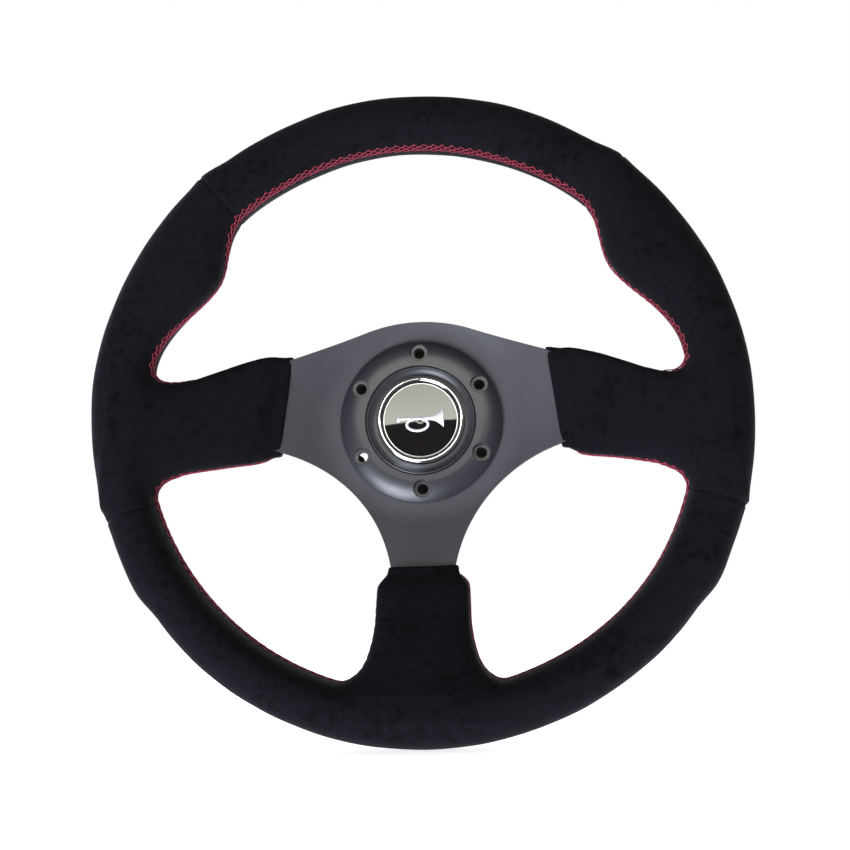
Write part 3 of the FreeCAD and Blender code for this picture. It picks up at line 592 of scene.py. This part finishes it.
def badge_surface(x, z):
    """The y of the dome's face at a place on the badge."""
    radius = (BADGE_HALF**2 + BADGE_RISE**2) / (2 * BADGE_RISE)
    return badge_low.y + radius - np.sqrt(radius**2 - x**2 - z**2)


def strip(centre_line, half_widths, height):
    """Flat ribbon with a little thickness that lies on the dome."""
    centre_line = np.array(centre_line) * MM
    tangent = np.gradient(centre_line, axis=0)
    tangent /= np.linalg.norm(tangent, axis=1)[:, None]
    normal = np.stack([-tangent[:, 1], tangent[:, 0]], axis=1)
    rings = []
    for place, side, half in zip(centre_line, normal, half_widths):
        left, right = place + side * half * MM, place - side * half * MM
        ring = []
        for x, z, lift in ((*left, -0.1 * MM), (*right, -0.1 * MM), (*right, height), (*left, height)):
            ring.append((x, badge_surface(x, z) - lift, z))
        rings.append(np.array(ring))
    vertices, faces = ring_grid(rings)
    faces += [(3, 2, 1, 0), tuple(range(len(vertices) - 4, len(vertices)))]
    return vertices, faces


def make_horn_symbol():
    """A plain bugle: a straight pipe with mouthpiece and bell, and one oval coil under it."""
    height = 0.08 * MM
    turns = np.linspace(0, 2 * math.pi, 65)
    coil = [(5.4 * math.cos(turn) - 1.5, 3.1 * math.sin(turn) - 2.6) for turn in turns]
    places = np.linspace(-11.8, 11.8, 70)
    pipe = [(place, 0.5) for place in places]
    widths = np.interp(places, (-11.8, -10.9, -10.0, 3.8), (1.7, 1.6, 0.62, 0.85))
    flare = np.clip((places - 3.8) / 8.0, 0, 1)
    symbol = gathered("horn_symbol", [strip(coil, np.full(65, 0.68), height),
                                      strip(pipe, widths + 4.0 * flare**2.2, height)])
    outward(symbol)
    return symbol


# ---------------------------------------------------------------- return spring


def make_spring():
    """Wire coil between the cap and its seat, with a flat turn at either end."""
    turns = 6
    wire = 0.5 * MM
    radius = (spring_high.x - spring_low.x) / 2 - wire
    share = np.linspace(0, 1, turns * 40 + 1)
    around = share * turns * 2 * math.pi
    progress = (share * turns - 0.6) / (turns - 1.2)
    climb = smooth_step(progress) * 0.25 + np.clip(progress, 0, 1) * 0.75
    front, back = cap_back + wire, spring_seat_front - wire
    path = np.stack([radius * np.cos(around), back + (front - back) * climb, radius * np.sin(around)], axis=1)
    spring = gathered("coil_spring", [tube(path, wire * 0.96, sides=12)])
    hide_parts("return_spring")
    return spring


# ---------------------------------------------------------------- materials


def new_material(name):
    """Material with its tree, shader node and object coordinates."""
    material = bpy.data.materials.new(name)
    material.use_nodes = True
    tree = material.node_tree
    place = tree.nodes.new("ShaderNodeTexCoord").outputs["Object"]
    return material, tree, tree.nodes["Principled BSDF"], place


def noise(tree, place, scale, detail=4, rough=0.6):
    node = tree.nodes.new("ShaderNodeTexNoise")
    node.inputs["Scale"].default_value = scale
    node.inputs["Detail"].default_value = detail
    node.inputs["Roughness"].default_value = rough
    tree.links.new(place, node.inputs["Vector"])
    return node.outputs["Fac"]


def ramp(tree, factor, *stops):
    """Colour ramp of (position, colour) stops."""
    node = tree.nodes.new("ShaderNodeValToRGB")
    elements = node.color_ramp.elements
    while len(elements) < len(stops):
        elements.new(0.5)
    for element, (position, colour) in zip(elements, stops):
        element.position = position
        element.color = (*colour, 1) if len(colour) == 3 else colour
    tree.links.new(factor, node.inputs["Fac"])
    return node.outputs["Color"]


def value_ramp(tree, factor, low, high, start=0.3, end=0.7):
    return ramp(tree, factor, (start, (low,) * 3), (end, (high,) * 3))


def bump(tree, shader, heights, soft_edge=0.0):
    """Chains bumps of (height socket, distance in metres), over edges softened by a small radius."""
    normal = None
    if soft_edge:
        edge = tree.nodes.new("ShaderNodeBevel")
        edge.samples = 6
        edge.inputs["Radius"].default_value = soft_edge
        normal = edge.outputs["Normal"]
    for height, distance in heights:
        node = tree.nodes.new("ShaderNodeBump")
        node.inputs["Distance"].default_value = distance
        tree.links.new(height, node.inputs["Height"])
        if normal:
            tree.links.new(normal, node.inputs["Normal"])
        normal = node.outputs["Normal"]
    tree.links.new(normal, shader.inputs["Normal"])


def suede_material():
    """Napped near-black suede: brushed patches, short fibres and a soft sheen at grazing angles."""
    material, tree, shader, place = new_material("suede")
    patches = noise(tree, place, 38, detail=5, rough=0.65)
    fibres = noise(tree, place, 1500, detail=2)
    mottle = noise(tree, place, 240, detail=3)
    mixed = tree.nodes.new("ShaderNodeMath")
    mixed.operation = "ADD"
    tree.links.new(mottle, mixed.inputs[0])
    tree.links.new(patches, mixed.inputs[1])
    nap = ramp(tree, mixed.outputs[0], (0.66, (0.0003, 0.0002, 0.0005)), (1.34, (0.0042, 0.0035, 0.0054)))
    tree.links.new(nap, shader.inputs["Base Color"])
    tree.links.new(value_ramp(tree, fibres, 0.85, 1.0), shader.inputs["Roughness"])
    shader.inputs["Specular IOR Level"].default_value = 0.09
    shader.inputs["Sheen Weight"].default_value = 0.075
    shader.inputs["Sheen Roughness"].default_value = 0.36
    shader.inputs["Sheen Tint"].default_value = (0.75, 0.72, 0.85, 1)
    bump(tree, shader, ((mottle, 0.0005), (fibres, 0.00025)))
    return material


def thread_material():
    material, tree, shader, place = new_material("red_thread")
    strands = noise(tree, place, 900, detail=2)
    tree.links.new(ramp(tree, strands, (0.3, (0.10, 0.0015, 0.010)), (0.7, (0.32, 0.006, 0.036))),
                   shader.inputs["Base Color"])
    shader.inputs["Roughness"].default_value = 0.6
    shader.inputs["Sheen Weight"].default_value = 0.05
    bump(tree, shader, ((strands, 0.0002),))
    return material


def plain_material(name, colour, roughness, metallic=0.0, grain=0.0, spread=0.12, specular=0.5,
                   soft_edge=0.0):
    """Material with a slight variation of colour and roughness and a fine grain."""
    material, tree, shader, place = new_material(name)
    broad = noise(tree, place, 25)
    fine = noise(tree, place, 1200, detail=2)
    dark = tuple(channel * (1 - spread) for channel in colour)
    light = tuple(min(1, channel * (1 + spread)) for channel in colour)
    tree.links.new(ramp(tree, broad, (0.35, dark), (0.65, light)), shader.inputs["Base Color"])
    rough = value_ramp(tree, fine, roughness * 0.92, min(1, roughness * 1.08))
    tree.links.new(rough, shader.inputs["Roughness"])
    shader.inputs["Metallic"].default_value = metallic
    shader.inputs["Specular IOR Level"].default_value = specular
    if grain:
        bump(tree, shader, ((fine, grain),), soft_edge)
    return material


MATERIALS = {
    "suede": suede_material(),
    "red_thread": thread_material(),
    "anodised_plate": plain_material("anodised_plate", (0.040, 0.039, 0.045), 0.55, grain=0.00006,
                                     specular=0.4, soft_edge=0.35 * MM),
    "satin_plastic": plain_material("satin_plastic", (0.019, 0.019, 0.024), 0.38, grain=0.00004,
                                    specular=0.6, soft_edge=0.4 * MM),
    "cap_plastic": plain_material("cap_plastic", (0.008, 0.008, 0.008), 0.4),
    "base_plastic": plain_material("base_plastic", (0.10, 0.045, 0.02), 0.45, spread=0.3),
    "bare_aluminium": plain_material("bare_aluminium", (0.72, 0.73, 0.74), 0.32, metallic=1),
    "steel": plain_material("steel", (0.58, 0.58, 0.6), 0.3, metallic=1),
    "brass": plain_material("brass", (0.76, 0.56, 0.24), 0.3, metallic=1),
    "chrome": plain_material("chrome", (0.86, 0.86, 0.87), 0.06, metallic=1, spread=0.02),
    "badge_gloss": plain_material("badge_gloss", (0.004, 0.003, 0.003), 0.035, spread=0.05,
                                  specular=1.0),
    "foam": plain_material("foam", (0.02, 0.02, 0.02), 0.8, grain=0.0001),
    "symbol": plain_material("symbol", (0.72, 0.73, 0.74), 0.25, spread=0.03),
}


def dress(thing, name):
    thing.data.materials.clear()
    thing.data.materials.append(MATERIALS[name])


def dress_cad_nodes():
    for entry in frame["record"]["subparts"]:
        dress(frame["nodes"][entry["node"]], entry["material_slot"])


# ---------------------------------------------------------------- studio

hub_bolts = frame["record"]["mounts"][0]["dims"]
BOLT_COUNT = hub_bolts["count"]
BOLT_REACH = hub_bolts["pcd_mm"] / 2 * MM
# Dark discs of painted shade behind the bolt holes: their radius, sides and y, and the hole whose disc is set
# aside and by how much.
CARD_RADIUS = 4 * MM
CARD_SIDES = 24
CARD_Y = 1.2 * MM
OPEN_HOLE, OPEN_SHIFT = 4, 4.2 * MM


def stage_sheet(name, corners, material):
    sheet = new_object(name, corners, [tuple(range(len(corners)))])
    sheet.data.materials.append(material)
    return sheet


def make_floor():
    half = 6
    level = FLOOR_Z - 0.2 * MM
    material = plain_material("floor", (0.93, 0.93, 0.93), 0.9, spread=0.01, specular=0.1)
    shader = material.node_tree.nodes["Principled BSDF"]
    shader.inputs["Emission Color"].default_value = (1, 1, 1, 1)
    shader.inputs["Emission Strength"].default_value = 0.8
    corners = [(-half, -half, level), (half, -half, level), (half, half, level), (-half, half, level)]
    floor = stage_sheet("floor", corners, material)
    floor.visible_shadow = False
    floor.visible_glossy = False


def make_softbox():
    """Glowing panel above the camera, brightest along its lower edge."""
    material = bpy.data.materials.new("softbox")
    material.use_nodes = True
    tree = material.node_tree
    tree.nodes.remove(tree.nodes["Principled BSDF"])
    glow = tree.nodes.new("ShaderNodeEmission")
    place = tree.nodes.new("ShaderNodeTexCoord")
    split = tree.nodes.new("ShaderNodeSeparateXYZ")
    tree.links.new(place.outputs["Generated"], split.inputs[0])
    fading = ramp(tree, split.outputs["Z"], (0.0, (6.0, 6.1, 5.3)), (0.9, (4.6, 4.7, 4.2)))
    tree.links.new(fading, glow.inputs["Color"])
    tree.links.new(glow.outputs[0], tree.nodes["Material Output"].inputs["Surface"])
    half, away, low_left, low_right, high = 0.55, -1.0, 0.125, 0.165, 0.58
    corners = [(-half, away, low_left), (-half, away, high), (half, away, high), (half, away, low_right)]
    softbox = stage_sheet("softbox", corners, material)
    softbox.visible_camera = False
    softbox.visible_diffuse = False


def make_hole_shade_cards():
    """Painted shade in the bolt holes: dark discs just behind them, one of them half aside; they can't be
    seen from behind.
    """
    turns = np.linspace(0, 2 * math.pi, CARD_SIDES, endpoint=False)
    rings, faces = [], []
    for number in range(BOLT_COUNT):
        turn = 2 * math.pi * number / BOLT_COUNT
        reach = BOLT_REACH + (OPEN_SHIFT if number == OPEN_HOLE else 0)
        rings.append(np.stack([reach * math.sin(turn) + CARD_RADIUS * np.sin(turns),
                               np.full(CARD_SIDES, CARD_Y),
                               reach * math.cos(turn) + CARD_RADIUS * np.cos(turns)], axis=1))
        faces.append(tuple(range(CARD_SIDES * number, CARD_SIDES * (number + 1)))[::-1])
    card = new_object("hole_shade_cards", np.concatenate(rings), faces)
    material, tree, shader, place = new_material("hole_shade_card")
    # Dark brown painted shade seen through the holes, varied at random.
    patches = noise(tree, place, 60)
    tree.links.new(ramp(tree, patches, (0.35, (0.012, 0.008, 0.006)), (0.7, (0.05, 0.032, 0.02))),
                   shader.inputs["Base Color"])
    shader.inputs["Roughness"].default_value = 1
    clear = tree.nodes.new("ShaderNodeBsdfTransparent")
    facing = tree.nodes.new("ShaderNodeNewGeometry")
    mixed = tree.nodes.new("ShaderNodeMixShader")
    tree.links.new(facing.outputs["Backfacing"], mixed.inputs[0])
    tree.links.new(shader.outputs[0], mixed.inputs[1])
    tree.links.new(clear.outputs[0], mixed.inputs[2])
    tree.links.new(mixed.outputs[0], tree.nodes["Material Output"].inputs["Surface"])
    card.data.materials.append(material)
    card.visible_shadow = False


def make_world():
    """White seen directly, cooler as light on the object, and dark on the camera's side in reflections."""
    world = bpy.data.worlds.new("studio")
    bpy.context.scene.world = world
    world.use_nodes = True
    tree = world.node_tree
    background = tree.nodes["Background"]
    path = tree.nodes.new("ShaderNodeLightPath")
    coordinates = tree.nodes.new("ShaderNodeTexCoord")
    split = tree.nodes.new("ShaderNodeSeparateXYZ")
    tree.links.new(coordinates.outputs["Generated"], split.inputs[0])
    glossy = ramp(tree, split.outputs["Y"], (0.0, (0.11, 0.10, 0.11)), (0.45, (0.8, 0.82, 0.9)))
    seen = tree.nodes.new("ShaderNodeMix")
    seen.data_type = "RGBA"
    seen.inputs["A"].default_value = (0.42, 0.42, 0.47, 1)
    tree.links.new(path.outputs["Is Glossy Ray"], seen.inputs["Factor"])
    tree.links.new(glossy, seen.inputs["B"])
    final = tree.nodes.new("ShaderNodeMix")
    final.data_type = "RGBA"
    tree.links.new(path.outputs["Is Camera Ray"], final.inputs["Factor"])
    tree.links.new(seen.outputs["Result"], final.inputs["A"])
    final.inputs["B"].default_value = (1, 1, 1, 1)
    tree.links.new(final.outputs["Result"], background.inputs["Color"])


def area_light(name, place, aim, wide, tall, power, colour):
    light = bpy.data.lights.new(name, "AREA")
    light.shape = "RECTANGLE"
    light.size, light.size_y, light.energy, light.color = wide, tall, power, colour
    thing = bpy.data.objects.new(name, light)
    thing.location = place
    thing.rotation_euler = (Vector(aim) - Vector(place)).to_track_quat("-Z", "Y").to_euler()
    thing.visible_camera = False
    bpy.context.scene.collection.objects.link(thing)


def make_lights():
    hub = (0, 0, 0)
    area_light("low_left", (-0.47, -0.74, -0.82), hub, 0.6, 0.6, 25, (0.80, 0.85, 1.0))
    area_light("behind", (0.4, 1.3, 0.5), hub, 1.2, 1.0, 14, (1, 1, 1))


def make_camera():
    """Below the wheel's axis and a little right of it, with the wheel turned a little left."""
    azimuth, elevation, roll = math.radians(4.3), math.radians(-8.8), math.radians(1.5)
    distance = 0.546
    centre = Vector((4.4 * MM, RIM_Y, -7.2 * MM))
    offset = Vector((math.sin(azimuth) * math.cos(elevation), -math.cos(azimuth) * math.cos(elevation),
                     math.sin(elevation))) * distance
    data = bpy.data.cameras.new("camera")
    data.lens, data.sensor_width = 48, 36
    camera = bpy.data.objects.new("camera", data)
    facing = (-offset).to_track_quat("-Z", "Y").to_matrix().to_4x4()
    camera.matrix_world = Matrix.Translation(centre + offset) @ facing @ Matrix.Rotation(-roll, 4, "Z")
    bpy.context.scene.collection.objects.link(camera)
    bpy.context.scene.camera = camera


# ---------------------------------------------------------------- assembly

dress_cad_nodes()
cover_panels, foam_body = make_covers()
for panel in cover_panels:
    dress(panel, "suede")
    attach(panel, "wheel")
dress(foam_body, "foam")
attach(foam_body, "wheel")
for window_name, stitch_path in STITCH_LINES.items():
    stitched = make_stitches(window_name, stitch_path)
    dress(stitched, "red_thread")
    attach(stitched, "wheel")
spring = make_spring()
dress(spring, "steel")
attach(spring, "wheel")
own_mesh(spring)
symbol_mark = make_horn_symbol()
dress(symbol_mark, "symbol")
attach(symbol_mark, "horn_button")

bpy.context.scene.view_settings.view_transform = "Standard"
make_floor()
make_hole_shade_cards()
make_softbox()
make_world()
make_lights()
make_camera()
